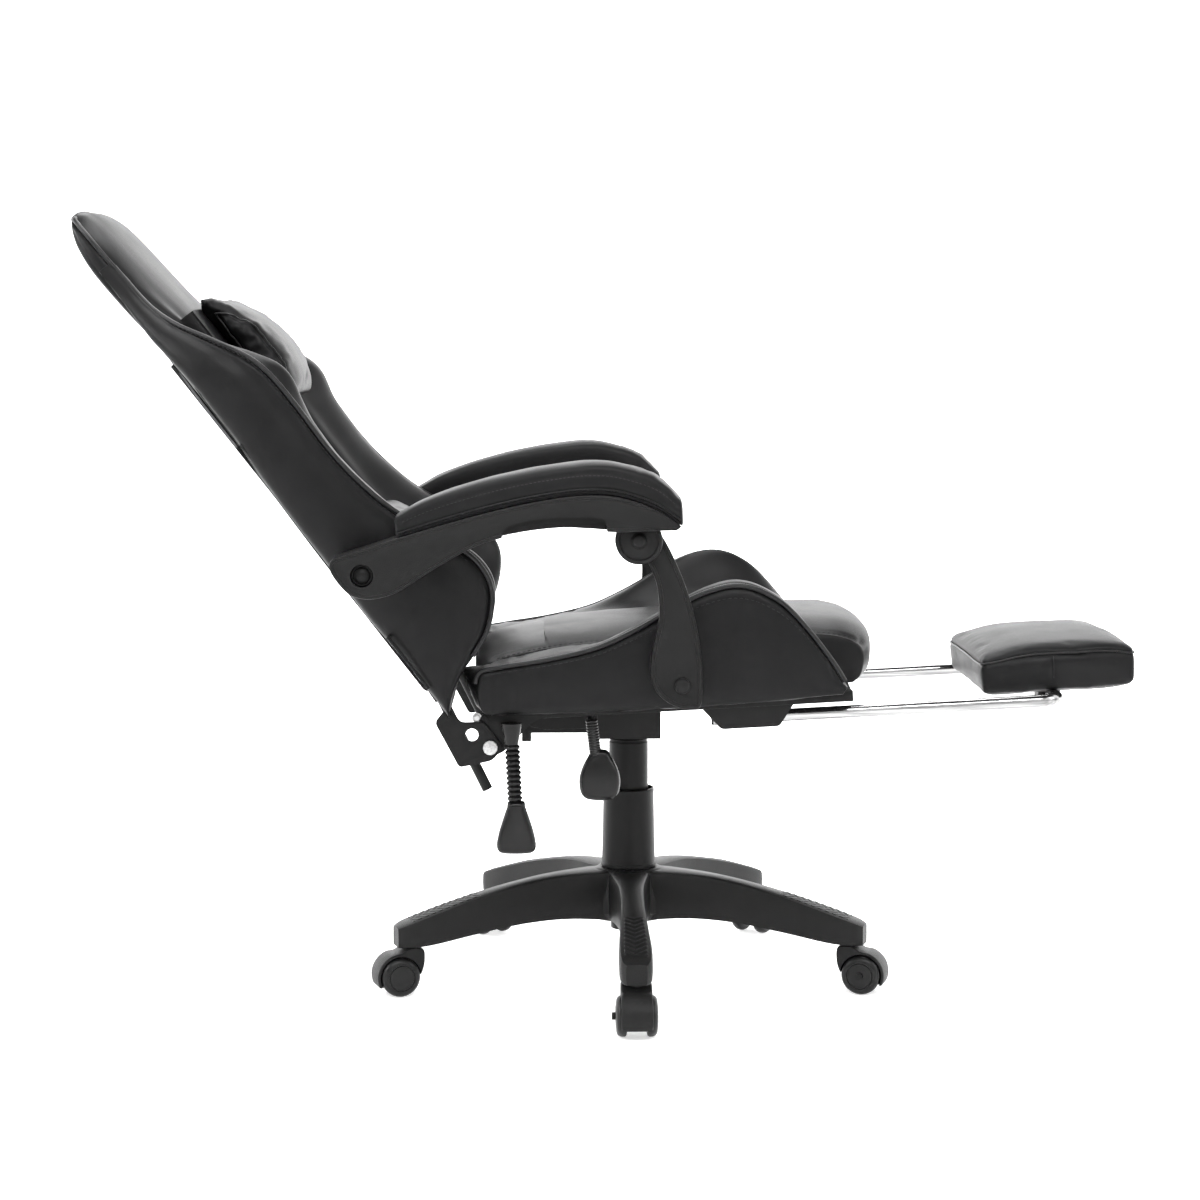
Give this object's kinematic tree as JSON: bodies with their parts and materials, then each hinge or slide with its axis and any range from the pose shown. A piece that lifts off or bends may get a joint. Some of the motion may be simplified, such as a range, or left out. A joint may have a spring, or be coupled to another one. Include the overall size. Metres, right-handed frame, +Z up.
{
  "type": "gaming chair",
  "caption": "Reclining gaming chair with bucket seat and back, neck pillow, linked padded armrests, slide-out footrest, hand levers, gas lift and a star base on castors.",
  "frame": {"origin": "floor level, at the middle of the chair's length and width as it stands with its footrest out", "axes": "+X is the way the sitter faces, +Z is up, and -Y is the sitter's right"},
  "size_m": [1.314, 0.6768, 0.9936],
  "materials": {
    "leather": "fine grain, semi-gloss black imitation leather",
    "nylon": "fine textured black nylon",
    "shell_plastic": "fine textured black plastic",
    "cover_plastic": "satin black plastic",
    "gloss_plastic": "glossy black plastic",
    "black_steel": "satin black powder coat",
    "column_steel": "satin black paint",
    "chrome": "bright chrome plate",
    "zinc": "bright zinc plate",
    "webbing": "black woven webbing",
    "board": "plain plywood"
  },
  "bodies": {
    "base": {"star_base": "nylon", "gas_column": "column_steel", "column_cover_lower": "cover_plastic"},
    "lift": {"lift_tube": "chrome", "column_cover_upper": "cover_plastic"},
    "seat": {"swivel_mechanism": "black_steel", "seat_board": "board", "seat_cushion": "leather", "seat_rail_right": "black_steel", "seat_bolster_right": "leather", "recliner_bracket_right": "black_steel", "footrest_guide_right": "shell_plastic", "link_bolt_right": "shell_plastic", "seat_rail_left": "black_steel", "seat_bolster_left": "leather", "recliner_bracket_left": "black_steel", "footrest_guide_left": "shell_plastic", "link_bolt_left": "shell_plastic"},
    "back": {"back_panel": "shell_plastic", "back_cushion": "leather", "neck_pillow": "leather", "lumbar_cushion": "leather", "lumbar_strap": "webbing", "strap_buckle": "gloss_plastic", "back_wing_right": "leather", "back_tube_right": "black_steel", "recliner_plate_right": "black_steel", "recliner_bolt_right": "zinc", "armrest_bolt_right": "zinc", "back_wing_left": "leather", "back_tube_left": "black_steel", "recliner_plate_left": "black_steel", "recliner_bolt_left": "zinc", "armrest_bolt_left": "zinc"},
    "height_lever": {"height_lever_rod": "black_steel", "height_lever_paddle": "gloss_plastic"},
    "recline_lever": {"recline_lever": "gloss_plastic", "recline_lever_gaiter": "gloss_plastic", "recline_lever_paddle": "gloss_plastic"},
    "footrest_frame": {"footrest_rods": "chrome"},
    "footrest_pad": {"footrest_hinge": "black_steel", "footrest_pad": "leather"},
    "armrest_right": {"armrest_shell_right": "shell_plastic", "armrest_pad_right": "leather"},
    "link_right": {"armrest_link_right": "shell_plastic"},
    "armrest_left": {"armrest_shell_left": "shell_plastic", "armrest_pad_left": "leather"},
    "link_left": {"armrest_link_left": "shell_plastic"},
    "castor_1": {"castor_hood_1": "nylon"},
    "wheels_1": {"castor_wheels_1": "nylon"},
    "castor_2": {"castor_hood_2": "nylon"},
    "wheels_2": {"castor_wheels_2": "nylon"},
    "castor_3": {"castor_hood_3": "nylon"},
    "wheels_3": {"castor_wheels_3": "nylon"},
    "castor_4": {"castor_hood_4": "nylon"},
    "wheels_4": {"castor_wheels_4": "nylon"},
    "castor_5": {"castor_hood_5": "nylon"},
    "wheels_5": {"castor_wheels_5": "nylon"}
  },
  "joints": [
    {"name": "seat_height", "type": "slide", "parent": "base", "child": "lift", "axis": [0, 0, 1], "range_m": [-0.03, 0.05]},
    {"name": "seat_swivel", "type": "hinge", "parent": "lift", "child": "seat", "pos_m": [0.028, 0, 0.32], "axis": [0, 0, 1], "continuous": true},
    {"name": "back_recline", "type": "hinge", "parent": "seat", "child": "back", "pos_m": [-0.148, 0, 0.339], "axis": [0, 1, 0], "range_deg": [-22, 28]},
    {"name": "armrest_right_pivot", "type": "hinge", "parent": "back", "child": "armrest_right", "pos_m": [-0.296, 0, 0.558], "axis": [0, 1, 0], "range_deg": [-20.8, 16.4]},
    {"name": "link_right_pivot", "type": "hinge", "parent": "seat", "child": "link_right", "pos_m": [0.083, 0, 0.421], "axis": [0, 1, 0], "range_deg": [-29.1, 37]},
    {"name": "armrest_left_pivot", "type": "hinge", "parent": "back", "child": "armrest_left", "pos_m": [-0.296, 0, 0.558], "axis": [0, 1, 0], "range_deg": [-20.8, 16.4]},
    {"name": "link_left_pivot", "type": "hinge", "parent": "seat", "child": "link_left", "pos_m": [0.083, 0, 0.421], "axis": [0, 1, 0], "range_deg": [-29.1, 37]},
    {"name": "footrest_slide", "type": "slide", "parent": "seat", "child": "footrest_frame", "axis": [0.9986, 0, 0.0523], "range_m": [-0.28, 0]},
    {"name": "footrest_flip", "type": "hinge", "parent": "footrest_frame", "child": "footrest_pad", "pos_m": [0.55952, 0, 0.38728], "axis": [0, 1, 0], "range_deg": [0, 180.2]},
    {"name": "height_lever_turn", "type": "hinge", "parent": "seat", "child": "height_lever", "pos_m": [-0.026, 0, 0.37], "axis": [0, 1, 0], "range_deg": [-12, 0], "stiffness_Nm_per_rad": 0.6},
    {"name": "recline_lever_pull", "type": "hinge", "parent": "seat", "child": "recline_lever", "pos_m": [-0.122, 0, 0.36], "axis": [0, 1, 0], "range_deg": [-18, 0], "stiffness_Nm_per_rad": 0.8},
    {"name": "castor_1_swivel", "type": "hinge", "parent": "base", "child": "castor_1", "pos_m": [0.028, -0.296, 0.06], "axis": [0, 0, 1], "continuous": true},
    {"name": "castor_1_roll", "type": "hinge", "parent": "castor_1", "child": "wheels_1", "pos_m": [0.028, -0.314, 0.025], "axis": [1, 0, 0], "continuous": true},
    {"name": "castor_2_swivel", "type": "hinge", "parent": "base", "child": "castor_2", "pos_m": [0.30951, -0.09147, 0.06], "axis": [0, 0, 1], "continuous": true},
    {"name": "castor_2_roll", "type": "hinge", "parent": "castor_2", "child": "wheels_2", "pos_m": [0.32663, -0.09703, 0.025], "axis": [0.309, 0.9511, 0], "continuous": true},
    {"name": "castor_3_swivel", "type": "hinge", "parent": "base", "child": "castor_3", "pos_m": [0.20198, 0.23947, 0.06], "axis": [0, 0, 1], "continuous": true},
    {"name": "castor_3_roll", "type": "hinge", "parent": "castor_3", "child": "wheels_3", "pos_m": [0.21256, 0.25403, 0.025], "axis": [-0.809, 0.5878, 0], "continuous": true},
    {"name": "castor_4_swivel", "type": "hinge", "parent": "base", "child": "castor_4", "pos_m": [-0.14598, 0.23947, 0.06], "axis": [0, 0, 1], "continuous": true},
    {"name": "castor_4_roll", "type": "hinge", "parent": "castor_4", "child": "wheels_4", "pos_m": [-0.15656, 0.25403, 0.025], "axis": [-0.809, -0.5878, 0], "continuous": true},
    {"name": "castor_5_swivel", "type": "hinge", "parent": "base", "child": "castor_5", "pos_m": [-0.25351, -0.09147, 0.06], "axis": [0, 0, 1], "continuous": true},
    {"name": "castor_5_roll", "type": "hinge", "parent": "castor_5", "child": "wheels_5", "pos_m": [-0.27063, -0.09703, 0.025], "axis": [0.309, -0.9511, 0], "continuous": true}
  ],
  "couplings": [
    {"joint": "armrest_right_pivot", "follows": "back_recline", "ratio": -0.74},
    {"joint": "link_right_pivot", "follows": "back_recline", "ratio": 1.32},
    {"joint": "armrest_left_pivot", "follows": "back_recline", "ratio": -0.74},
    {"joint": "link_left_pivot", "follows": "back_recline", "ratio": 1.32},
    {"joint": "footrest_flip", "follows": "footrest_slide", "rad_per_m": -11.22}
  ]
}
